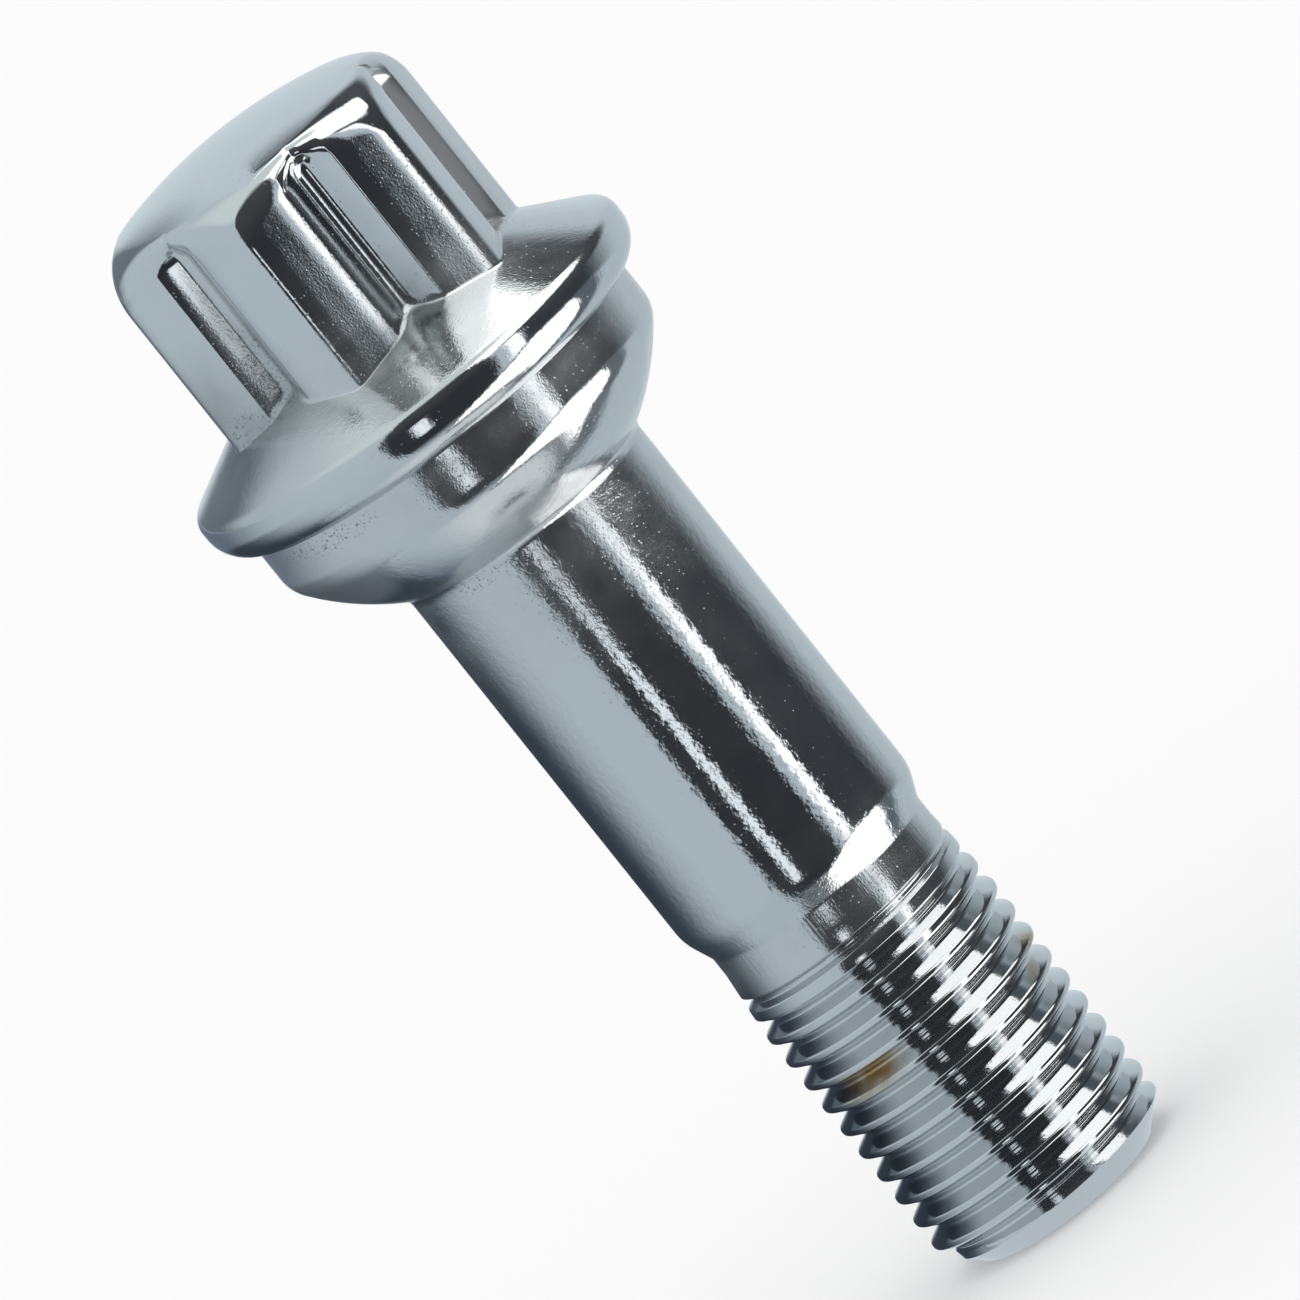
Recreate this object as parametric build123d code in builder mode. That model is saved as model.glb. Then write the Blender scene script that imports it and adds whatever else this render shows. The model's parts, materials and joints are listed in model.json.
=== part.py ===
# Wheel bolt, chrome-plated steel, forged in one piece: a crowned hexagon head with a groove down
# each flat, a coned flange, a ball seat, a plain shank, and an M14 x 1.5 thread.
# It stands on its thread end: +Z runs up the axis to the head, and the origin is in that end's middle.
import os
from math import atan2, ceil, degrees, radians, sin, sqrt, tan

from build123d import *

# Thread, from the bolt's end up to the neck
thread_d = 13.9  # crest diameter of an M14 thread, within its tolerance
thread_pitch = 1.5
thread_depth = 0.613 * thread_pitch  # of a rolled thread
thread_root = thread_pitch / 8  # width of the flat at the bottom of the thread's V
thread_proud = thread_pitch / 10  # the V is cut from this far outside the crests
thread_flank = 30.0  # half angle of the V
thread_length = 19.7
runout_length = 4.0  # the thread fades out over this length below the neck
end_d = 10.5  # flat end face
end_slope = 45.0  # of the chamfer up to the thread
end_edge_r = 0.4

# Neck and shank
neck_d = 13.15  # the blank that the thread was rolled on
neck_length = 1.15
neck_r = 0.8  # hollow at the foot of the shoulder
shoulder_length = 1.6
shoulder_r = 3.0
shank_d = 14.5
shank_length = 22.5  # from the shoulder to where the ball would meet the shank

# Ball seat
ball_r = 14.0
ball_foot_r = 0.8  # hollow between ball and shank
seat_d = 23.3
seat_edge_r = 2.0  # rounding from the ball to the seat's wall
seat_height = 2.65  # straight wall above the ball

# Flange
flange_d = 26.55
flange_under = 1.9  # height of the rounded underside
flange_wall = 0.85  # from the underside to the corner of the cone
flange_slope = 29.4
flange_edge_r = 1.2

# Hexagon head
flat_count = 6
across_flats = 17.0
corner_r = 1.4
head_turn = 15.0  # the front flat stands this far round from -Y
head_height = 14.7  # from the corner of the flange's cone to the top of the crown
crown_r = 27.0
crown_d = 19.6  # the crown's own round, outside the corners
crown_edge_r = 3.2
head_edge_r = 1.0  # softens the edge between crown and flats
head_foot_r = 0.3  # hollow between head and flange

# Groove down the middle of each flat
groove_depth = 1.1
groove_slope = 52.0  # half angle of its V
groove_root_r = 0.8
groove_edge_r = 0.4
groove_proud = 0.02  # the rounded edges of the groove stop this far outside the flat
groove_end_gap = 3.4  # from the top of the groove's straight part to the top of the crown
groove_end_slope = 33.0  # the groove's bottom runs out at this slope

# Heights of the steps along the axis
neck_z = thread_length
shoulder_z = neck_z + neck_length
shank_z = shoulder_z + shoulder_length
ball_z = shank_z + shank_length
ball_center_z = ball_z + sqrt(ball_r**2 - (shank_d / 2) ** 2)
seat_z = ball_center_z - sqrt(ball_r**2 - (seat_d / 2) ** 2)
flange_z = seat_z + seat_height
rim_z = flange_z + flange_under
cone_z = rim_z + flange_wall
cone_top_z = cone_z + flange_d / 2 * tan(radians(flange_slope))
top_z = cone_z + head_height
crown_side_z = top_z - crown_r + sqrt(crown_r**2 - (crown_d / 2) ** 2)
end_chamfer_z = (thread_d - end_d) / 2 * tan(radians(end_slope))
runout_z = neck_z - runout_length
groove_end_z = top_z - groove_end_gap

# Thread's helix, which starts below the end and has whole turns up to the run-out
thread_root_d = thread_d - 2 * thread_depth
thread_turns = ceil(runout_z / thread_pitch) + 1
thread_start_z = runout_z - thread_turns * thread_pitch
thread_reach = thread_depth + thread_proud
thread_mouth = thread_root + 2 * thread_reach * tan(radians(thread_flank))
runout_rise = (neck_d - thread_root_d) / 2 + thread_proud
runout_angle = degrees(atan2(runout_rise, runout_length))

# Section of the groove, seen from above
groove_bottom = across_flats / 2 - groove_depth
groove_face = across_flats / 2 + groove_proud
groove_tip = groove_root_r * (1 / sin(radians(groove_slope)) - 1)
groove_end_length = crown_d / 2 / sin(radians(groove_end_slope))
groove_mouth = (groove_face - groove_bottom + groove_tip) * tan(radians(groove_slope))

# Body: everything turned about the axis, with the flange's cone carried on inside the head
with BuildPart() as body:
    with BuildSketch(Plane.XZ) as profile:
        with BuildLine():
            lower = Polyline(
                (0, 0),
                (end_d / 2, 0),
                (thread_d / 2, end_chamfer_z),
                (thread_d / 2, runout_z),
                (neck_d / 2, neck_z),
                (neck_d / 2, shoulder_z),
                (shank_d / 2, shank_z),
                (shank_d / 2, ball_z),
            )
            ball = RadiusArc(lower @ 1, (seat_d / 2, seat_z), -ball_r)
            wall = Line(ball @ 1, (seat_d / 2, flange_z))
            under = TangentArc((flange_d / 2, rim_z), wall @ 1, tangent=(0, -1))
            Polyline(under @ 0, (flange_d / 2, cone_z), (0, cone_top_z), (0, 0))
        make_face()
        rounded_corners = (
            (end_d, 0, end_edge_r),
            (neck_d, shoulder_z, neck_r),
            (shank_d, shank_z, shoulder_r),
            (shank_d, ball_z, ball_foot_r),
            (seat_d, seat_z, seat_edge_r),
            (flange_d, cone_z, flange_edge_r),
        )
        for diameter, height, radius in rounded_corners:
            fillet(profile.vertices().sort_by_distance((diameter / 2, height))[0], radius)
    revolve(axis=Axis.Z)

# Head: a hexagon with rounded corners, cut to the crown's round
with BuildPart() as head:
    with BuildSketch(Plane.XY.offset(rim_z)):
        hexagon = RegularPolygon(across_flats / 2, flat_count, major_radius=False, rotation=head_turn)
        fillet(hexagon.vertices(), corner_r)
    extrude(amount=top_z - rim_z)
    with BuildSketch(Plane.XZ) as crown:
        with BuildLine():
            side = Polyline((0, top_z), (0, rim_z), (crown_d / 2, rim_z), (crown_d / 2, crown_side_z))
            RadiusArc(side @ 1, (0, top_z), -crown_r)
        make_face()
        fillet(crown.vertices().sort_by_distance(side @ 1)[0], crown_edge_r)
    revolve(axis=Axis.Z, mode=Mode.INTERSECT)
    crown_face = head.faces().filter_by(GeomType.TORUS)[0]
    fillet(crown_face.edges().filter_by(GeomType.CIRCLE, reverse=True), head_edge_r)

# Groove: a V with a round bottom and round edges, which stops on the flange and curves out at the top
with BuildPart() as groove:
    with BuildLine(Plane.YZ) as groove_path:
        straight = Line((groove_bottom, rim_z), (groove_bottom, groove_end_z))
        PolarLine(straight @ 1, groove_end_length, 90 - groove_end_slope)
    with BuildSketch(Plane.XY.offset(rim_z)) as groove_section:
        with BuildLine():
            Polyline(
                (0, groove_bottom - groove_tip),
                (groove_mouth, groove_face),
                (groove_mouth + groove_edge_r, groove_face),
                (groove_mouth + groove_edge_r, crown_d / 2),
                (0, crown_d / 2),
            )
            mirror(about=Plane.YZ)
        make_face()
        fillet(groove_section.vertices().sort_by(Axis.Y)[0], groove_root_r)
        for side_x in (-groove_mouth, groove_mouth):
            mouth = groove_section.vertices().sort_by_distance((side_x, groove_face))[0]
            fillet(mouth, groove_edge_r)
    sweep(transition=Transition.RIGHT)
    add(body.part, mode=Mode.SUBTRACT)

# Thread: a V swept up a helix, then out along a cone until it leaves the neck
with BuildPart() as thread:
    with BuildLine() as thread_path:
        full = Helix(thread_pitch, thread_turns * thread_pitch, thread_root_d / 2, (0, 0, thread_start_z))
        Helix(thread_pitch, runout_length, thread_root_d / 2, (0, 0, runout_z), cone_angle=runout_angle)
    with BuildSketch(Plane(full @ 0, x_dir=(1, 0, 0), z_dir=full % 0)):
        with BuildLine():
            Polyline(
                (0, -thread_root / 2),
                (thread_reach, -thread_mouth / 2),
                (thread_reach, thread_mouth / 2),
                (0, thread_root / 2),
                close=True,
            )
        make_face()
    sweep(path=thread_path.wire(), is_frenet=True)

with BuildPart() as bolt:
    add(body.part)
    add(head.part)
    fillet(bolt.edges(Select.NEW), head_foot_r)
    with PolarLocations(0, flat_count, start_angle=head_turn):
        add(groove.part, mode=Mode.SUBTRACT)
    add(thread.part, mode=Mode.SUBTRACT)

bolt.part.label = "wheel_bolt"
os.makedirs("parts", exist_ok=True)
export_step(bolt.part, "parts/wheel_bolt.step")
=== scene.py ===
import json
import math

import bmesh
import bpy
import numpy as np
from mathutils import Matrix, Vector


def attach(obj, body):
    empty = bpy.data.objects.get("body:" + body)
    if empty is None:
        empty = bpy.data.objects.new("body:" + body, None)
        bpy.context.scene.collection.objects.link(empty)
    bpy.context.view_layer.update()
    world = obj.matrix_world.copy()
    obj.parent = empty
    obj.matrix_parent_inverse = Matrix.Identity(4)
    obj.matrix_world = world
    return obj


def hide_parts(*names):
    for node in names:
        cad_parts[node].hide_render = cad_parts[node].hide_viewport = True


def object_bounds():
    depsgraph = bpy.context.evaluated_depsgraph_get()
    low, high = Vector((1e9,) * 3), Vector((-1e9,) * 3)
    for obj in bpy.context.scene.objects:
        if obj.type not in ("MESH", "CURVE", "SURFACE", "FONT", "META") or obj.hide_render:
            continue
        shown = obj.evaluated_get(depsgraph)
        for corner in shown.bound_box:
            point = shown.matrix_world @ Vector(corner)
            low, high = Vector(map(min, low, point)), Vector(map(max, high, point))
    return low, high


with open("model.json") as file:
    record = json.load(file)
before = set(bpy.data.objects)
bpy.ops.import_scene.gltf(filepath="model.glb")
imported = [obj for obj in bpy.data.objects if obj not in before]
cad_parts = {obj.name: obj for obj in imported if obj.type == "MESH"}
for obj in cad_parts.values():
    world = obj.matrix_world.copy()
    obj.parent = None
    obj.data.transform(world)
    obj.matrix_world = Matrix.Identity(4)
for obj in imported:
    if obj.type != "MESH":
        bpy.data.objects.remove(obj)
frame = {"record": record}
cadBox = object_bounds()
mm = 0.001
weld = mm / 1000  # points closer than this are one
mounts = {mount["name"]: mount["dims"] for mount in frame["record"]["mounts"]}
boltTop = cadBox[1].z / mm
columns = 180  # round the axis, on the thread and the turned body
print("frame loaded, bolt is", round(boltTop, 2), "mm high")


# helpers for every piece

def srgb(code):  # sRGB hex to linear
    parts = [int(code[i:i + 2], 16) / 255 for i in (1, 3, 5)]
    linear = [c / 12.92 if c <= 0.04045 else ((c + 0.055) / 1.055) ** 2.4 for c in parts]
    return (*linear, 1.0)


def addNode(tree, kind, links=None, **settings):  # one node, its settings, then what feeds it
    node = tree.nodes.new(kind)
    for name, value in settings.items():
        setattr(node, name, value)
    for socket, source in (links or {}).items():
        if isinstance(source, bpy.types.NodeSocket):
            tree.links.new(source, node.inputs[socket])
        else:
            node.inputs[socket].default_value = source
    return node


def arc(center, radius, start, end, steps):  # degrees, from +r towards +z
    turns = np.radians(np.linspace(start, end, steps + 1))
    return [(center[0] + radius * math.cos(a), center[1] + radius * math.sin(a)) for a in turns]


def corner(before, at, after, radius, steps):  # a rounded corner between two straight runs
    back = (Vector(before) - Vector(at)).normalized()
    ahead = (Vector(after) - Vector(at)).normalized()
    half = back.angle(ahead) / 2
    middle = Vector(at) + (back + ahead).normalized() * radius / math.sin(half)
    start = Vector(at) + back * radius / math.tan(half) - middle
    end = Vector(at) + ahead * radius / math.tan(half) - middle
    first = math.degrees(math.atan2(start.y, start.x))
    sweep = (math.degrees(math.atan2(end.y, end.x)) - first + 180) % 360 - 180
    return arc(middle, radius, first, first + sweep, steps)


def drawWire(name, points):  # an open line in the XZ plane, drawn point by point
    bpy.ops.object.select_all(action="DESELECT")
    bpy.ops.mesh.primitive_plane_add(size=mm, location=(0, 0, 0))
    wire = bpy.context.object
    wire.name = name
    bpy.ops.object.mode_set(mode="EDIT")
    bpy.ops.mesh.merge(type="CENTER")
    here = Vector((points[0][0] * mm, 0, points[0][1] * mm))
    bpy.ops.transform.translate(value=here)
    for r, z in points[1:]:
        there = Vector((r * mm, 0, z * mm))
        bpy.ops.mesh.extrude_vertices_move(TRANSFORM_OT_translate={"value": there - here})
        here = there
    return wire


def spinWire(name, points):  # a turned shape
    wire = drawWire(name, points)
    bpy.ops.mesh.select_all(action="SELECT")
    bpy.ops.mesh.spin(steps=columns, angle=math.tau, center=(0, 0, 0), axis=(0, 0, 1))
    bpy.ops.mesh.select_all(action="SELECT")
    bpy.ops.mesh.remove_doubles(threshold=weld)
    bpy.ops.object.mode_set(mode="OBJECT")
    return wire


# turned body, from the neck to the flange's cone, mm

body = {
    "neckR": 6.575, "neckZ": 19.7, "neckHollow": 0.8,
    "shoulderZ": 20.85, "shankZ": 22.45, "shoulderRound": 3.0,
    "shankR": mounts["shank"]["r_mm"], "ballFootZ": 44.95, "ballFootHollow": 0.8,
    "ballR": mounts["ball_seat"]["r_mm"], "seatR": 11.65, "seatRound": 2.0, "seatWall": 2.65,
    "flangeR": cadBox[1].x / mm, "flangeUnder": 1.9, "flangeWall": 0.85, "flangeRound": 0.8,
    "coneSlope": 29.4, "shankRows": (0.25, 0.5, 0.75),
}
ballZ = body["ballFootZ"] + math.sqrt(body["ballR"] ** 2 - body["shankR"] ** 2)
flangeZ = ballZ - math.sqrt(body["ballR"] ** 2 - body["seatR"] ** 2) + body["seatWall"]
rimZ = flangeZ + body["flangeUnder"]
coneZ = rimZ + body["flangeWall"]
coneRise = math.tan(math.radians(body["coneSlope"]))

thread = {
    "crestR": mounts["hub_thread"]["r_mm"], "pitch": 1.5, "depth": 0.92, "flankSlope": 30.0,
    "rootRound": 0.1625, "rootRow": 0.53,  # a row on the round root, as a share of its half width
    "crestRound": 0.12, "crestRow": (0.2, 0.13),  # a row on the round crest, as shares of its run and depth
    "flankRow": 0.04,  # rows close to a flank's edges keep the flank flat to the light
    "grooveZ": 0.7,  # height of the groove's middle on +X
    "fadeZ": 15.7, "fadeEndZ": 19.3, "fadePower": 0.65, "fadeWidth": 0.35, "topZ": 19.45,  # run-out
    "tipZ": 0.5, "endR": 5.25, "endRound": 0.4, "endRows": (0, 0.35, 0.7, 0.95),
}


def blankRadius(z):  # the thread's blank, which tapers to the neck
    share = np.clip((z - thread["fadeZ"]) / (body["neckZ"] - thread["fadeZ"]), 0, 1)
    return thread["crestR"] + (body["neckR"] - thread["crestR"]) * share


def bodyProfile():
    neckR, shankR, seatR, flangeR = body["neckR"], body["shankR"], body["seatR"], body["flangeR"]
    points = [(float(blankRadius(thread["topZ"])), thread["topZ"]), (neckR, body["neckZ"])]
    neckFoot, shoulder = (neckR, body["shoulderZ"]), (shankR, body["shankZ"])
    points += corner(points[-1], neckFoot, shoulder, body["neckHollow"], steps=6)
    points += corner(neckFoot, shoulder, (shankR, body["ballFootZ"]), body["shoulderRound"], steps=7)

    hollow = body["ballFootHollow"]  # between shank and ball
    hollowR, hollowReach = shankR + hollow, body["ballR"] + hollow
    hollowTurn = math.degrees(math.acos(hollowR / hollowReach))
    hollowZ = ballZ - math.sqrt(hollowReach ** 2 - hollowR ** 2)
    shankFoot = points[-1][1]
    points += [(shankR, shankFoot + (hollowZ - shankFoot) * share) for share in body["shankRows"]]
    points += arc((hollowR, hollowZ), hollow, 180, 180 - hollowTurn, steps=6)

    seatRound = body["seatRound"]  # between ball and seat wall
    roundR, roundReach = seatR - seatRound, body["ballR"] - seatRound
    roundTurn = math.degrees(math.acos(roundR / roundReach))
    roundZ = ballZ - math.sqrt(roundReach ** 2 - roundR ** 2)
    points += arc((0, ballZ), body["ballR"], -hollowTurn, -roundTurn, steps=12)[1:]
    points += arc((roundR, roundZ), seatRound, -roundTurn, 0, steps=8)[1:]

    reach = flangeR - seatR  # the flange's rounded underside, then its edge
    underR = (reach ** 2 + body["flangeUnder"] ** 2) / (2 * reach)
    underTurn = math.degrees(math.asin(body["flangeUnder"] / underR))
    points += arc((flangeR - underR, rimZ), underR, -underTurn, 0, steps=9)
    rim = (flangeR, coneZ)
    points += corner(points[-1], rim, (0, coneZ + flangeR * coneRise), body["flangeRound"], steps=10)
    return points


def endProfile():  # the bolt's flat end and the start of its chamfer
    endR, tipZ = thread["endR"], thread["tipZ"]
    rounded = corner((0, 0), (endR, 0), (endR + tipZ, tipZ), thread["endRound"], steps=5)
    rings = [(rounded[0][0] * share, 0) for share in thread["endRows"]]
    return rings + rounded + [(endR + tipZ, tipZ)]


# head: a grooved hexagon with a crown, mm

head = {
    "flatR": mounts["hex_head"]["r_mm"], "flats": 6, "turn": 15.0,
    "columns": 480, "columnRun": 0.35, "columnTurn": 5.0,  # shared out by mm of run and degrees of bend
    "grooveDepth": 1.1, "grooveRoot": 0.8, "wallLean": 38.0, "mouthRound": 0.4, "mouthLead": 5.3,
    "cornerLead": 4.3, "cornerRound": 1.0, "leadTurn": 10.0,  # a slow bend leads into each tight one
    "grooveTopZ": 67.9, "grooveFade": 1.7, "fadePower": 2.5,  # the groove gets smaller and ends in an arch
    "grooveLeast": 0.001, "runGap": 0.2,
    "crownR": 27.0, "crownSideR": 9.8, "crownRound": 3.2, "edgeSoft": 0.9, "poleTurn": 89.2,
    "footHollow": 0.3, "grooveFootHollow": 1.0,
    "coneRows": (0.06, 0.3, 0.55, 0.8), "wallRows": (0.25, 0.5, 0.75, 1),
}
crownZ = boltTop - head["crownR"]  # middle of the crown's big round
edgeR = head["crownSideR"] - head["crownRound"]  # middle of the round at the crown's edge
edgeReach = head["crownR"] - head["crownRound"]
edgeZ = crownZ + math.sqrt(edgeReach ** 2 - edgeR ** 2)
edgeTurn = math.degrees(math.acos(edgeR / edgeReach))


def bend(points, radius, start, end, steps=12):  # goes on along an arc, by the surface's lean in degrees
    x, y = points[-1]
    way = 1 if end > start else -1
    for lean in np.radians(np.linspace(start, end, steps + 1)[1:]):
        first = math.radians(start)
        points.append((x + way * radius * (math.sin(lean) - math.sin(first)),
                       y + way * radius * (math.cos(lean) - math.cos(first))))


def grooveSection():  # from the groove's middle to the flat: distance across, height over the flat
    wall, lead = head["wallLean"], head["leadTurn"]
    points = [(0.0, -head["grooveDepth"])]
    bend(points, head["grooveRoot"], 0, -wall)
    cosines = math.cos(math.radians(lead)) - math.cos(math.radians(wall))
    rise = head["mouthRound"] * cosines + head["mouthLead"] * (1 - math.cos(math.radians(lead)))
    wallRise = -points[-1][1] - rise
    points.append((points[-1][0] + wallRise / math.tan(math.radians(wall)), -rise))
    bend(points, head["mouthRound"], -wall, -lead)
    bend(points, head["mouthLead"], -lead, 0)
    return points


def cornerSection():  # from the flat to the hexagon's corner
    half, lead = 180 / head["flats"], head["leadTurn"]
    points = [(0.0, 0.0)]
    bend(points, head["cornerLead"], 0, lead)
    bend(points, head["cornerRound"], lead, half)
    x, y = points[-1]
    first = (head["flatR"] + y) * math.tan(math.radians(half)) - x
    return [(first + x, y) for x, y in points]


grooveLine, cornerLine = grooveSection(), cornerSection()


def sideSection(share):  # half a flat with the groove at a share of its size: angles and radii
    x, y = np.array([(x * share, y * share) for x, y in grooveLine] + cornerLine).T
    gap = len(grooveLine)
    flatX = np.linspace(x[gap - 1], x[gap], 12)[1:-1]
    x = np.concatenate([x[:gap], flatX, x[gap:]])
    y = np.concatenate([y[:gap], flatX * 0, y[gap:]]) + head["flatR"]
    return np.degrees(np.arctan2(x, y)), np.hypot(x, y)


def grooveShare(z):
    up = (z - head["grooveTopZ"]) / head["grooveFade"] + 1
    return max(1 - max(up, 0) ** head["fadePower"], head["grooveLeast"])


def columnAngles(count):  # close together where the side bends, degrees from the flat's middle
    angles, radii = sideSection(1)
    x, y = radii * np.sin(np.radians(angles)), radii * np.cos(np.radians(angles))
    run = np.hypot(np.diff(x), np.diff(y))
    lean = np.degrees(np.arctan2(np.diff(y), np.diff(x)))
    turn = np.abs(np.diff(lean, prepend=lean[0])) / 2 + np.abs(np.diff(lean, append=lean[-1])) / 2
    effort = np.concatenate([[0], np.cumsum(run / head["columnRun"] + turn / head["columnTurn"])])
    return np.interp(np.linspace(0, effort[-1], count + 1), effort, angles)


def headColumn(away):  # one column from the flange to the top
    def side(z):
        return float(np.interp(away, *sideSection(grooveShare(z))))

    wallR = side(rimZ)
    hexR = float(np.interp(away, *sideSection(head["grooveLeast"])))
    inGroove = min((hexR - wallR) / head["grooveDepth"] * 2, 1)
    hollow = head["footHollow"] + (head["grooveFootHollow"] - head["footHollow"]) * inGroove
    foot = (wallR, coneZ + (body["flangeR"] - wallR) * coneRise)
    rim = turnedLine[-1]
    hollowArc = corner(rim, foot, (wallR, boltTop), hollow, steps=8)
    points = [tuple(Vector(rim).lerp(hollowArc[0], share)) for share in head["coneRows"]] + hollowArc
    wallZ, runZ = hollowArc[-1][1], head["grooveTopZ"] - head["grooveFade"]

    def crown(z):  # the crown's radius at a height
        return edgeR + math.sqrt(max(head["crownRound"] ** 2 - max(z - edgeZ, 0) ** 2, 0))

    low, high = runZ, edgeZ + head["crownRound"]
    for _ in range(40):  # halves the gap to where the side meets the crown
        middle = (low + high) / 2
        low, high = (middle, high) if side(middle) < crown(middle) else (low, middle)
    meet = Vector((crown(low), low))
    start = low
    while (Vector((side(start), start)) - meet).length < head["edgeSoft"]:  # down to where the edge softens
        start -= 0.01
    runZ = min(runZ, start - head["runGap"])
    points += [(wallR, wallZ + (runZ - wallZ) * share) for share in head["wallRows"]]
    points += [(side(z), z) for z in np.linspace(runZ, start, 13)[1:]]
    meetTurn = math.degrees(math.asin((low - edgeZ) / head["crownRound"]))
    softTurn = meetTurn + math.degrees(head["edgeSoft"] / head["crownRound"])
    first = Vector(points[-1])
    last = Vector(arc((edgeR, edgeZ), head["crownRound"], softTurn, softTurn, steps=0)[0])
    for share in np.linspace(0, 1, 10)[1:]:
        points.append(tuple(first.lerp(meet, share).lerp(meet.lerp(last, share), share)))
    points += arc((edgeR, edgeZ), head["crownRound"], softTurn, edgeTurn, steps=4)[1:]
    points += arc((0, crownZ), head["crownR"], edgeTurn, head["poleTurn"], steps=14)[1:]
    return points


def pressHead():
    count, flats = head["columns"], head["flats"]
    bpy.ops.object.select_all(action="DESELECT")
    bpy.ops.mesh.primitive_circle_add(vertices=count, radius=head["flatR"] * mm, location=(0, 0, 0))
    piece = bpy.context.object
    piece.name = "head"
    aways = columnAngles(count // flats // 2)
    lines = [headColumn(away) for away in aways]
    even = np.arange(count) * 360 / count
    half = 180 / flats
    place = (even + 90 - head["turn"] + half) % (2 * half) - half  # degrees from a flat's middle
    which = np.rint(np.abs(place) * count / 360).astype(int)
    shift = np.sign(place) * (aways[which] - np.abs(place))
    turns = even
    bpy.ops.object.mode_set(mode="EDIT")
    for ring in range(len(lines[0])):  # ring by ring up to the crown
        if ring:
            bpy.ops.mesh.extrude_edges_move()
        before, turns = turns, even + shift * min(ring / len(head["coneRows"]), 1)
        shape = bmesh.from_edit_mesh(piece.data)
        for v in (v for v in shape.verts if v.select):
            apart = before - math.degrees(math.atan2(v.co.y, v.co.x))
            i = int(np.argmin(np.abs((apart + 180) % 360 - 180)))
            r, z = lines[which[i]][ring]
            turn = math.radians(turns[i])
            v.co = (r * mm * math.cos(turn), r * mm * math.sin(turn), z * mm)
        bmesh.update_edit_mesh(piece.data)
    bpy.ops.mesh.extrude_edges_move()
    bpy.ops.mesh.merge(type="CENTER")
    bpy.ops.object.mode_set(mode="OBJECT")
    return piece


# thread: a strip of one pitch, screwed round the axis and pressed to the rolled form, mm

def rollThread():
    pitch, depth, root = thread["pitch"], thread["depth"], thread["rootRound"]
    slope = math.radians(thread["flankSlope"])
    rootX = root * math.cos(slope)  # where the round root ends
    vDepth = depth + root * (1 / math.sin(slope) - 1)
    crestX = vDepth * math.tan(slope)  # where the flank would meet the crest
    crestRun = thread["crestRound"] * math.tan(slope)
    flankEnd = crestX - crestRun * math.sin(slope)
    flank = [rootX, rootX + thread["flankRow"], flankEnd - thread["flankRow"], flankEnd]
    crestShare, crestSink = thread["crestRow"]
    rows = [0, thread["rootRow"] * rootX] + flank + [crestX + crestShare * crestRun, crestX + crestRun]
    depths = [depth, depth - root + math.sqrt(root ** 2 - rows[1] ** 2)]
    depths += [vDepth - row / math.tan(slope) for row in flank] + [crestSink * thread["crestRound"], 0]
    below = thread["grooveZ"] - 2 * pitch
    strip = [-row for row in rows[:0:-1]] + rows
    strip.append(strip[0] + pitch)
    piece = drawWire("thread", [(thread["crestR"], below + offset) for offset in strip])
    bpy.ops.object.mode_set(mode="OBJECT")
    turns = piece.modifiers.new("turns", "SCREW")
    turns.axis = "Z"
    turns.angle = math.tau
    turns.screw_offset = pitch * mm
    turns.iterations = math.ceil((thread["topZ"] - below) / pitch) + 1
    turns.steps = turns.render_steps = columns
    bpy.ops.object.modifier_apply(modifier=turns.name)
    mesh = piece.data
    place = np.empty(len(mesh.vertices) * 3)
    mesh.vertices.foreach_get("co", place)
    x, y, z = place.reshape(-1, 3).T / mm
    turn = np.arctan2(y, x)
    helix = thread["grooveZ"] + pitch * turn / math.tau
    offset = (z - helix + pitch / 2) % pitch - pitch / 2
    middle = z - offset
    fade = np.clip((thread["fadeEndZ"] - middle) / (thread["fadeEndZ"] - thread["fadeZ"]), 0, 1)
    fade = fade ** thread["fadePower"]  # the last turn still shows
    sunk = np.interp(np.abs(offset), rows, depths) * fade
    width, apart = np.maximum(fade, thread["fadeWidth"]), np.abs(offset)
    narrow = np.where(apart > rootX, rootX + (apart - rootX) * width, apart)
    z = middle + np.sign(offset) * narrow
    r = np.minimum(blankRadius(z) - sunk, thread["endR"] + z)
    tip, top = z < thread["tipZ"], z > thread["topZ"]
    z = np.clip(z, thread["tipZ"], thread["topZ"])
    r = np.where(tip, thread["endR"] + thread["tipZ"], np.where(top, blankRadius(z), r))
    place = np.stack([r * np.cos(turn), r * np.sin(turn), z], 1) * mm
    mesh.vertices.foreach_set("co", place.ravel())
    mesh.update()
    return piece


# all four in one mesh

turnedLine = bodyProfile()
parts = [spinWire("turnedBody", turnedLine), spinWire("end", endProfile()), rollThread(), pressHead()]
print("parts:", {part.name: len(part.data.vertices) for part in parts})

bpy.ops.object.select_all(action="DESELECT")
for part in parts:
    part.select_set(True)
bolt = parts[0]
bpy.context.view_layer.objects.active = bolt
bpy.ops.object.join()
bolt.name = "bolt"
bpy.ops.object.mode_set(mode="EDIT")
bpy.ops.mesh.select_all(action="SELECT")
bpy.ops.mesh.remove_doubles(threshold=weld)
bpy.ops.mesh.select_all(action="DESELECT")
bpy.ops.mesh.select_mode(type="EDGE")
shape = bmesh.from_edit_mesh(bolt.data)
openEdges = [edge for edge in shape.edges if edge.is_boundary]
for edge in openEdges:
    edge.select_set(min(v.co.z for v in edge.verts) > rimZ * mm)
print("open edges:", len(openEdges), "of them at the rim:", sum(edge.select for edge in openEdges))
bmesh.update_edit_mesh(bolt.data)
bpy.ops.mesh.bridge_edge_loops()  # the flange's rim to the head's foot
bpy.ops.mesh.select_all(action="SELECT")
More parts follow.
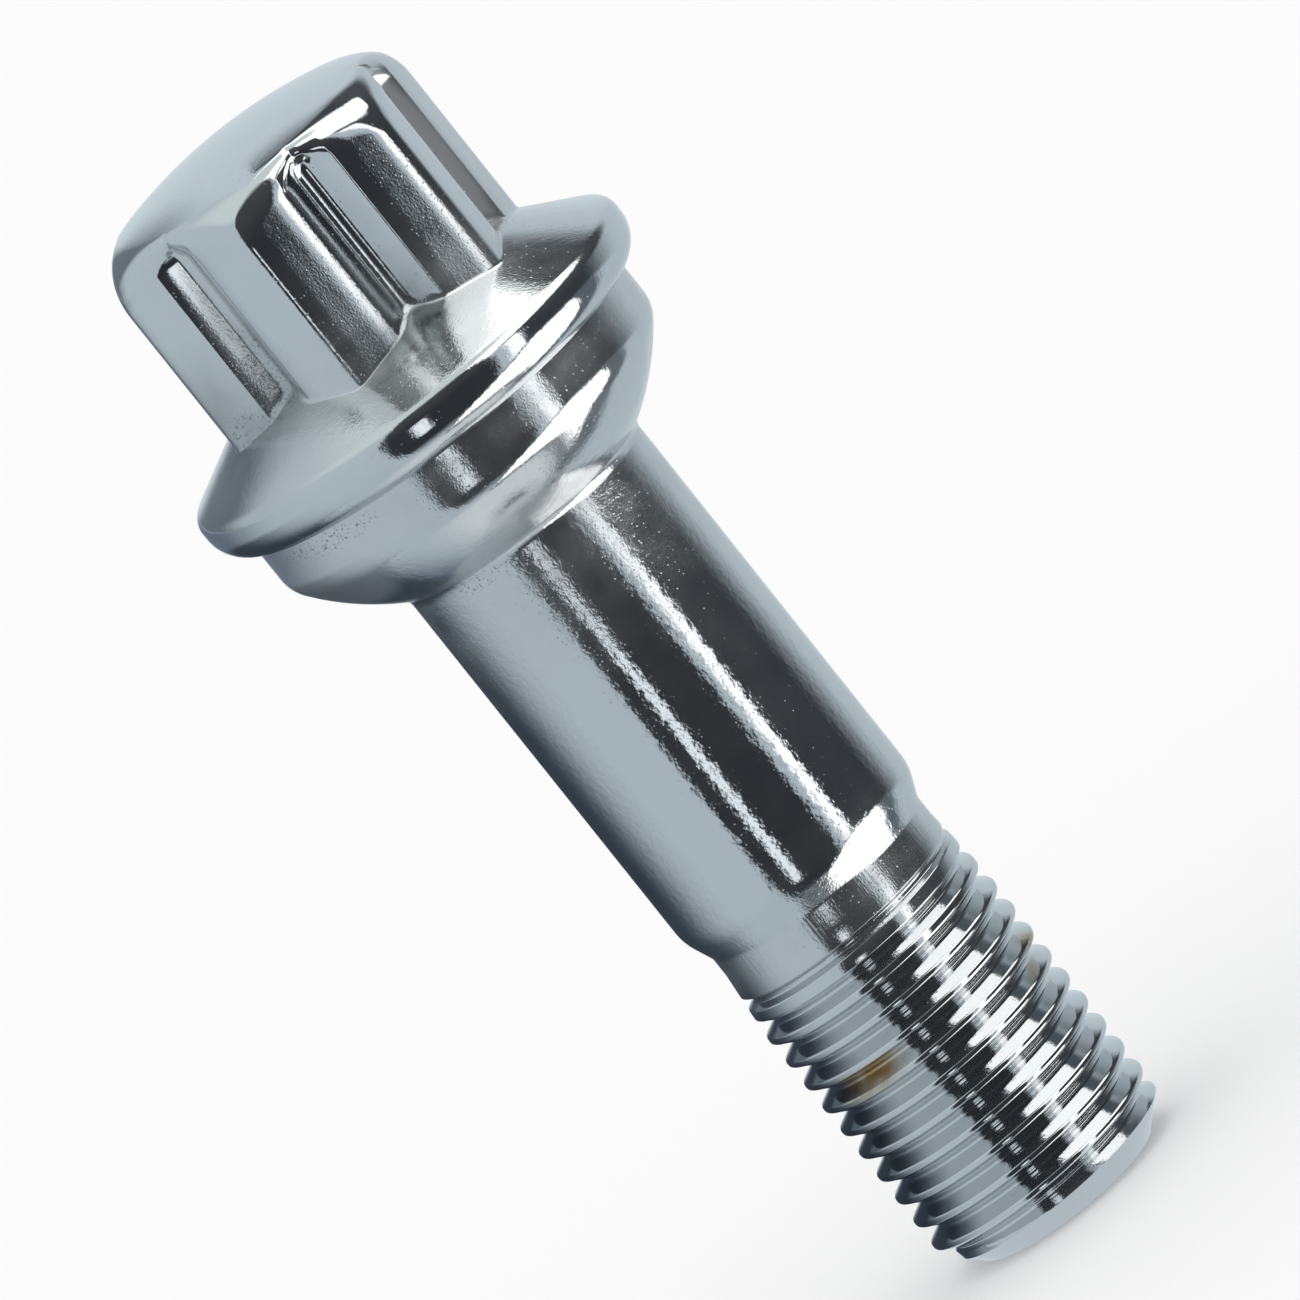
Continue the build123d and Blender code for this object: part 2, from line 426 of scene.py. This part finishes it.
bpy.ops.mesh.normals_make_consistent(inside=False)
bpy.ops.object.mode_set(mode="OBJECT")
bpy.ops.object.shade_smooth_by_angle(angle=math.radians(40))  # sharper edges stay crisp
print("bolt joined:", len(bolt.data.vertices), "vertices,", len(bolt.data.polygons), "faces")

# chrome plating over forged and rolled steel, mm: bright, bluish-white mirror, with a grain that shows
# as white specks, and patches where a satin film takes the edge off the reflections

plate = {
    "colour": "#d6d8d9", "roughness": (0.035, 0.2), "veilRoughness": 0.55,
    "grain": 0.11, "grainHeight": (0.0008, 0.012),  # coarser than real plating, so that it shows
    "nib": 0.25, "nibHeight": (0.001, 0.02), "nibReach": 0.26, "nibChance": (0.3, 0.75),  # raised specks
    "patch": 1.8, "patchFrom": (0.3, 0.7), "patchTo": (0.5, 1.15),  # haze comes in clouds
    "haze": [  # height and share
        (0, 0.2), (4, 0.06), (16, 0.06), (20, 0.8), (22, 0.5), (24, 0.18), (35, 0.22), (40, 0.5), (44, 0.8),
        (46, 0.4), (49, 0.25), (51, 0.6), (52.5, 0.4), (53.5, 0.15), (55, 0.3), (58, 0.8), (61, 0.5),
        (64.5, 0.3), (67.5, 0.03), (70, 0.3),
    ],
    "veil": [
        (0, 0.1), (3, 0.02), (17, 0.05), (20, 0.26), (22, 0.1), (25, 0.04), (36, 0.07), (43, 0.26), (46, 0.2),
        (49, 0.15), (51, 0.3), (52.5, 0.15), (54, 0.03), (56, 0.15), (58, 0.3), (61, 0.08), (65, 0.02),
        (70, 0.1),
    ],
    "wave": 0.4, "waveHeight": 0.014,  # slow waves of the forged shank
    "waves": [(0, 0.2), (20, 0.2), (24, 1.0), (44, 1.0), (47, 0.5), (56, 0.35), (58, 0.2), (70, 0.15)],
    "drag": 0.14, "dragStretch": 0.08, "dragHeight": 0.012,  # upright scratches on the neck
    "drags": [(0, 0), (18.8, 0), (19.8, 1.0), (21.2, 0.8), (22.3, 0), (70, 0)],
    "dull": 0.5, "dullCore": 0.5,
    "dullSpots": [  # middle and reach
        ((7.6, -1.6, 62.0), (1.8, 2.4, 9.0)), ((-5.6, -5.6, 61.0), (1.7, 1.7, 7.0)),
        ((-9.5, -5.5, 48.6), (4.5, 6.5, 3.4)),
    ],
}
paintedShade = {  # painted shade: grey darkening in the corners and grooves of the head and on the thread's left side
    "colour": "#a4a8aa", "size": 4.0, "from": 0.1, "to": 0.6, "core": 0.0,
    "spots": [((-8.0, -4.0, 56.5), (6.0, 8.0, 7.5)), ((-5.5, -5.5, 59.0), (1.8, 1.8, 5.0)),
              ((2.3, -7.4, 60.0), (1.7, 1.4, 8.0)), ((0.5, -8.6, 57.3), (4.0, 2.0, 2.6)),
              ((-6.8, -2.6, 8.5), (3.8, 5.2, 12.0))],
}
pits = {  # small grey pits below the flange and the ball, and at the left flat's foot
    "colour": "#8b9195", "size": 0.17, "from": 0.56, "to": 0.68, "core": 0.5,
    "spots": [((-8.5, -7.5, 51.2), (4.5, 5.0, 0.7)), ((-3.6, -6.2, 44.5), (3.2, 3.0, 0.5)),
              ((-5.4, -5.4, 59.5), (1.5, 1.5, 3.5)), ((-8.0, -4.0, 57.4), (2.2, 3.0, 1.3))],
}
paintedDarkReflection = {  # painted reflection: a dark patch on the cone, below the front groove, for the head's dark flats mirrored there
    "colour": "#74787a", "size": 0.7, "from": 0.36, "to": 0.72, "core": 0.1,
    "spots": [((2.4, -8.7, 57.0), (1.3, 1.1, 0.9)), ((0.6, -10.1, 56.3), (2.2, 1.5, 1.1))],
}
stain = {  # brown rust water in the thread
    "colour": "#a98d62", "size": 1.5, "from": 0.2, "to": 0.65, "core": 0.3,
    "spots": [((-4.5, -5.0, 12.0), (3.6, 3.6, 1.1)), ((6.6, -2.3, 11.6), (1.4, 2.8, 1.2))],
}


def chromePlate():
    chrome = bpy.data.materials.new("bright chrome plate")
    chrome.use_nodes = True
    tree = chrome.node_tree
    shader = tree.nodes["Principled BSDF"]
    shader.inputs["Metallic"].default_value = 1.0
    place = addNode(tree, "ShaderNodeTexCoord").outputs["Object"]

    def nearSpots(spots, core):  # 1 within the core of any of the spots, 0 beyond its reach
        cover = 0.0
        for middle, reach in spots:
            apart = addNode(tree, "ShaderNodeVectorMath", {0: place, 1: Vector(middle) * mm},
                            operation="SUBTRACT")
            share = addNode(tree, "ShaderNodeVectorMath", {0: apart.outputs[0], 1: Vector(reach) * mm},
                            operation="DIVIDE")
            size = addNode(tree, "ShaderNodeVectorMath", {0: share.outputs[0]}, operation="LENGTH")
            near = addNode(tree, "ShaderNodeMapRange", {0: size.outputs["Value"], 1: 1.0, 2: core},
                           interpolation_type="SMOOTHSTEP")
            both = addNode(tree, "ShaderNodeMath", {0: near.outputs[0], 1: cover}, operation="MAXIMUM")
            cover = both.outputs[0]
        return cover

    # where the plating is hazy, veiled, wavy or scratched, by height
    axes = addNode(tree, "ShaderNodeSeparateXYZ", {0: place})
    top = plate["haze"][-1][0]
    height = addNode(tree, "ShaderNodeMapRange", {0: axes.outputs["Z"], 1: 0.0, 2: top * mm})
    zones = {}
    for name in ("haze", "veil", "waves", "drags"):
        zones[name] = addNode(tree, "ShaderNodeValToRGB", {0: height.outputs[0]})
        stops = zones[name].color_ramp.elements
        stops.remove(stops[1])
        stops[0].color = (plate[name][0][1],) * 3 + (1,)
        for at, value in plate[name][1:]:
            stops.new(at / top).color = (value,) * 3 + (1,)
    cloud = addNode(tree, "ShaderNodeTexNoise",
                    {"Vector": place, "Scale": 1 / (plate["patch"] * mm), "Detail": 5.0})
    (thinnest, thickest), (least, most) = plate["patchFrom"], plate["patchTo"]
    uneven = addNode(tree, "ShaderNodeMapRange",
                     {0: cloud.outputs["Fac"], 1: thinnest, 2: thickest, 3: least, 4: most})
    clouds = addNode(tree, "ShaderNodeMath", {0: zones["haze"].outputs[0], 1: uneven.outputs[0]},
                     operation="MULTIPLY", use_clamp=True)
    haze = clouds.outputs[0]
    thin = addNode(tree, "ShaderNodeMath", {0: zones["veil"].outputs[0], 1: uneven.outputs[0]},
                   operation="MULTIPLY")
    near = nearSpots(plate["dullSpots"], plate["dullCore"])
    thick = addNode(tree, "ShaderNodeMath", {0: near, 1: plate["dull"]}, operation="MULTIPLY")
    veil = addNode(tree, "ShaderNodeMath", {0: thin.outputs[0], 1: thick.outputs[0]}, operation="MAXIMUM")
    bright, hazy = plate["roughness"]
    dull = addNode(tree, "ShaderNodeMapRange", {0: haze, 3: bright, 4: hazy})

    # marks, one over the other: painted shade, small pits, a painted dark reflection and a rust stain
    colour = srgb(plate["colour"])
    for markOrPaintedShade in (paintedShade, pits, paintedDarkReflection, stain):
        speck = addNode(tree, "ShaderNodeTexNoise",
                        {"Vector": place, "Scale": 1 / (markOrPaintedShade["size"] * mm), "Detail": 2.0})
        strong = addNode(tree, "ShaderNodeMapRange",
                         {0: speck.outputs["Fac"], 1: markOrPaintedShade["from"], 2: markOrPaintedShade["to"]})
        near = nearSpots(markOrPaintedShade["spots"], markOrPaintedShade["core"])
        cover = addNode(tree, "ShaderNodeMath", {0: strong.outputs[0], 1: near}, operation="MULTIPLY")
        mixed = addNode(tree, "ShaderNodeMix", {0: cover.outputs[0], 6: colour, 7: srgb(markOrPaintedShade["colour"])},
                        data_type="RGBA")
        colour = mixed.outputs[2]

    # relief: slow waves, then scratches, grain and raised specks on them
    wave = addNode(tree, "ShaderNodeTexNoise",
                   {"Vector": place, "Scale": 1 / (plate["wave"] * mm), "Detail": 1.0})
    broad = addNode(tree, "ShaderNodeMath", {0: zones["waves"].outputs[0], 1: plate["waveHeight"] * mm},
                    operation="MULTIPLY")
    soft = addNode(tree, "ShaderNodeBump", {"Height": wave.outputs["Fac"], "Distance": broad.outputs[0]})
    drawn = addNode(tree, "ShaderNodeMapping", {"Vector": place, "Scale": (1, 1, plate["dragStretch"])})
    lines = addNode(tree, "ShaderNodeTexNoise",
                    {"Vector": drawn.outputs[0], "Scale": 1 / (plate["drag"] * mm)})
    sharp = addNode(tree, "ShaderNodeMath", {0: zones["drags"].outputs[0], 1: plate["dragHeight"] * mm},
                    operation="MULTIPLY")
    drag = addNode(tree, "ShaderNodeBump",
                   {"Height": lines.outputs["Fac"], "Distance": sharp.outputs[0], "Normal": soft.outputs[0]})
    grain = addNode(tree, "ShaderNodeTexNoise",
                    {"Vector": place, "Scale": 1 / (plate["grain"] * mm), "Detail": 1.5})
    low, high = plate["grainHeight"]
    deep = addNode(tree, "ShaderNodeMapRange", {0: haze, 3: low * mm, 4: high * mm})
    fine = addNode(tree, "ShaderNodeBump",
                   {"Height": grain.outputs["Fac"], "Distance": deep.outputs[0], "Normal": drag.outputs[0]})
    cells = addNode(tree, "ShaderNodeTexVoronoi", {"Vector": place, "Scale": 1 / (plate["nib"] * mm)})
    dome = addNode(tree, "ShaderNodeMapRange", {0: cells.outputs["Distance"], 1: plate["nibReach"], 2: 0.0},
                   interpolation_type="SMOOTHSTEP")
    rare, sure = plate["nibChance"]
    chance = addNode(tree, "ShaderNodeMapRange", {0: cells.outputs["Color"], 1: rare, 2: sure})
    bead = addNode(tree, "ShaderNodeMath", {0: dome.outputs[0], 1: chance.outputs[0]}, operation="MULTIPLY")
    low, high = plate["nibHeight"]
    proud = addNode(tree, "ShaderNodeMapRange", {0: haze, 3: low * mm, 4: high * mm})
    nibs = addNode(tree, "ShaderNodeBump",
                   {"Height": bead.outputs[0], "Distance": proud.outputs[0], "Normal": fine.outputs[0]})

    # the mirror, and the satin film over it
    tree.links.new(colour, shader.inputs["Base Color"])
    tree.links.new(dull.outputs[0], shader.inputs["Roughness"])
    tree.links.new(nibs.outputs[0], shader.inputs["Normal"])
    satin = addNode(tree, "ShaderNodeBsdfPrincipled",
                    {"Base Color": colour, "Metallic": 1.0, "Roughness": plate["veilRoughness"],
                     "Normal": fine.outputs[0]})
    both = addNode(tree, "ShaderNodeMixShader",
                   {0: veil.outputs[0], 1: shader.outputs[0], 2: satin.outputs[0]})
    tree.links.new(both.outputs[0], tree.nodes["Material Output"].inputs["Surface"])
    return chrome


bolt.data.materials.clear()
bolt.data.materials.append(chromePlate())
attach(bolt, "root")
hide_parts("wheel_bolt")
print("bolt plated")

# floor: matt white paper, an even white that keeps the bolt's soft shadow

sheet = {"size": 20.0, "colour": "#fcfcfc"}  # metres
bpy.ops.object.select_all(action="DESELECT")
bpy.ops.mesh.primitive_plane_add(size=sheet["size"], location=(0, 0, 0))
floor = bpy.context.object
floor.name = "floor"
paper = bpy.data.materials.new("white paper")
paper.use_nodes = True
paperShader = paper.node_tree.nodes["Principled BSDF"]
paperShader.inputs["Base Color"].default_value = srgb(sheet["colour"])
paperShader.inputs["Specular IOR Level"].default_value = 0.0  # matt
floor.data.materials.append(paper)
floor.visible_glossy = False

# studio: pale walls, a dark curtain in front and white lamps beside it; only the metal's reflections see them

studio = {
    "strength": 1.46, "wall": "#a8b3b9", "plain": "#ffffff", "lamp": 1.4,  # lamps are brighter than white
    # azimuth of left and right edge, their lean per degree up, elevation from and to, soft edges, colour;
    # each card covers those before it
    "cards": [
        ("roof", (-400, 400), (0, 0), (58, 200), (1, 1, 22, 1), "#bec8c8"),
        ("nadir", (-400, 400), (0, 0), (-200, -72), (1, 1, 1, 16), "#c6cbce"),
        ("leftLow", (-400, -118), (0, 0.2), (-60, 2), (1, 54, 24, 8), "#586370"),
        ("leftHigh", (-400, -120), (0, -0.7), (2, 34), (1, 34, 8, 16), "#58636c"),
        ("backLeft", (-400, -172), (0, 0), (-62, 70), (1, 8, 16, 10), "#b3bec4"),
        ("backRight", (166, 400), (0, 0), (-62, 70), (16, 1, 16, 10), "#b3bec4"),
        ("highLamp", (20, 52), (0, 1.95), (30, 68), (4, 10, 8, 8), "#f0f2f1"),
        ("slantShade", (48, 102), (1.95, 1.95), (2, 50), (8, 28, 12, 6), "#2b3035"),
        ("sideShade", (40, 114), (0, 0), (-19, 30), (4, 42, 5, 8), "#2e3236"),
        ("curtain", (-31, 32), (0, 0), (-59, 72), (5, 5, 24, 18), "#26292d"),
        ("leftLamp", (-15.5, -8), (0, 0), (-27, -7), (4, 4, 6, 6), "#c4cace"),
        ("gapLamp", (39.5, 48.5), (0, 0), (-24, 24), (4, 4, 8, 6), "#e2e5e7"),
        ("lampFrame", (70, 90), (1.13, -0.76), (-74, -17), (6, 12, 8, 5), "#4f585f"),
        ("lowLamp", (74, 68), (1.13, -0.76), (-68, -19), (4, 4, 8, 5), "#ffffff"),
    ],
}
# cloth cards close to the bolt, each on a tube: the tube's reach, foot and top, then the card by height, mm
nearCards = {
    # left of the shank
    "flag": ((70.0, -100.0, 60.0), ((-169, -104), (0, 0), (-35, 33), (10, 76, 20, 8), "#2a323c")),
    # under the end
    "pad": ((9.0, -400.0, 0.0), ((-400, 400), (0, 0), (-500, 100), (1, 1, 1, 1), "#b0b8be")),
}
tubeSides = 96


def cardCover(tree, toward, rise, sides, leans, heights, soft):  # 1 on a card and 0 off it
    axes = addNode(tree, "ShaderNodeSeparateXYZ", {0: toward})
    front = addNode(tree, "ShaderNodeMath", {0: axes.outputs["Y"], 1: -1.0}, operation="MULTIPLY")
    turn = addNode(tree, "ShaderNodeMath", {0: axes.outputs["X"], 1: front.outputs[0]}, operation="ARCTAN2")
    azimuth = addNode(tree, "ShaderNodeMath", {0: turn.outputs[0]}, operation="DEGREES").outputs[0]
    cover = 1.0
    for edge, at in enumerate(sides + heights):  # left, right, lower and upper edge
        lean = leans[edge] if edge < 2 else 0
        over = addNode(tree, "ShaderNodeMath", {0: rise, 1: -lean, 2: rise if edge > 1 else azimuth},
                       operation="MULTIPLY_ADD")
        fade = soft[edge] / 2 if edge % 2 else -soft[edge] / 2
        inside = addNode(tree, "ShaderNodeMapRange", {0: over.outputs[0], 1: at + fade, 2: at - fade},
                         interpolation_type="SMOOTHSTEP")
        both = addNode(tree, "ShaderNodeMath", {0: inside.outputs[0], 1: cover}, operation="MULTIPLY")
        cover = both.outputs[0]
    return cover


def lightStudio():
    world = bpy.data.worlds.new("studio")
    bpy.context.scene.world = world
    world.use_nodes = True
    tree = world.node_tree
    tree.nodes.clear()
    toward = addNode(tree, "ShaderNodeTexCoord").outputs["Generated"]
    axes = addNode(tree, "ShaderNodeSeparateXYZ", {0: toward})
    rise = addNode(tree, "ShaderNodeMath", {0: axes.outputs["Z"]}, operation="ARCSINE")
    elevation = addNode(tree, "ShaderNodeMath", {0: rise.outputs[0]}, operation="DEGREES").outputs[0]
    colour = srgb(studio["wall"])
    for name, sides, leans, heights, soft, shade in studio["cards"]:
        cover = cardCover(tree, toward, elevation, sides, leans, heights, soft)
        bright = studio["lamp"] if name.endswith("Lamp") else 1.0
        tint = [part * bright for part in srgb(shade)]
        card = addNode(tree, "ShaderNodeMix", {0: cover, 6: colour, 7: tint}, data_type="RGBA", label=name)
        colour = card.outputs[2]
    rays = addNode(tree, "ShaderNodeLightPath")
    seen = addNode(tree, "ShaderNodeBackground", {0: colour, 1: studio["strength"]})
    plain = addNode(tree, "ShaderNodeBackground", {0: srgb(studio["plain"]), 1: 1.0})
    both = addNode(tree, "ShaderNodeMixShader",
                   {0: rays.outputs["Is Glossy Ray"], 1: plain.outputs[0], 2: seen.outputs[0]})
    addNode(tree, "ShaderNodeOutputWorld", {0: both.outputs[0]})


def standCard(name):
    (reach, foot, top), (*shape, shade) = nearCards[name]
    bpy.ops.object.select_all(action="DESELECT")
    bpy.ops.mesh.primitive_cylinder_add(vertices=tubeSides, radius=reach * mm, depth=(top - foot) * mm,
                                        end_fill_type="NOTHING", location=(0, 0, (foot + top) / 2 * mm))
    bpy.ops.object.transform_apply(location=True)
    stand = bpy.context.object
    stand.name = name
    cloth = bpy.data.materials.new(name + " cloth")  # an even tone with soft edges
    cloth.use_nodes = True
    tree = cloth.node_tree
    tree.nodes.clear()
    place = addNode(tree, "ShaderNodeTexCoord").outputs["Object"]
    axes = addNode(tree, "ShaderNodeSeparateXYZ", {0: place})
    height = addNode(tree, "ShaderNodeMath", {0: axes.outputs["Z"], 1: mm}, operation="DIVIDE").outputs[0]
    cover = cardCover(tree, place, height, *shape)
    clear = addNode(tree, "ShaderNodeBsdfTransparent")
    tint = addNode(tree, "ShaderNodeEmission", {0: srgb(shade), 1: studio["strength"]})
    both = addNode(tree, "ShaderNodeMixShader", {0: cover, 1: clear.outputs[0], 2: tint.outputs[0]})
    addNode(tree, "ShaderNodeOutputMaterial", {0: both.outputs[0]})
    stand.data.materials.append(cloth)
    stand.visible_camera = False
    stand.visible_diffuse = False
    stand.visible_shadow = False


for name in nearCards:
    standCard(name)
lightStudio()
print("studio lit:", len(studio["cards"]), "cards far off,", len(nearCards), "near")

# camera

view = {
    "elevation": 10.8, "roll": 38.59, "distance": 2000.0, "target": (0.65, 0, 35.2),  # degrees and mm
    "focalPixels": 39800, "framePixels": 1300, "sensor": 36, "clipStart": 0.01,
}


def placeCamera():
    lens = bpy.data.cameras.new("camera")
    lens.sensor_width = view["sensor"]
    lens.lens = lens.sensor_width * view["focalPixels"] / view["framePixels"]
    lens.clip_start = view["clipStart"]
    camera = bpy.data.objects.new("camera", lens)
    bpy.context.scene.collection.objects.link(camera)
    tilt, roll = math.radians(view["elevation"]), math.radians(view["roll"])
    back = Vector((0, -math.cos(tilt), math.sin(tilt)))
    right = Vector((1, 0, 0))
    up = back.cross(right)
    across = right * math.cos(roll) - up * math.sin(roll)
    along = right * math.sin(roll) + up * math.cos(roll)
    turned = Matrix((across, along, back)).transposed().to_4x4()
    target = Vector(view["target"]) * mm
    camera.matrix_world = Matrix.Translation(target + back * view["distance"] * mm) @ turned
    bpy.context.scene.camera = camera


placeCamera()
print("camera placed")
bpy.context.scene.view_settings.view_transform = "Standard"
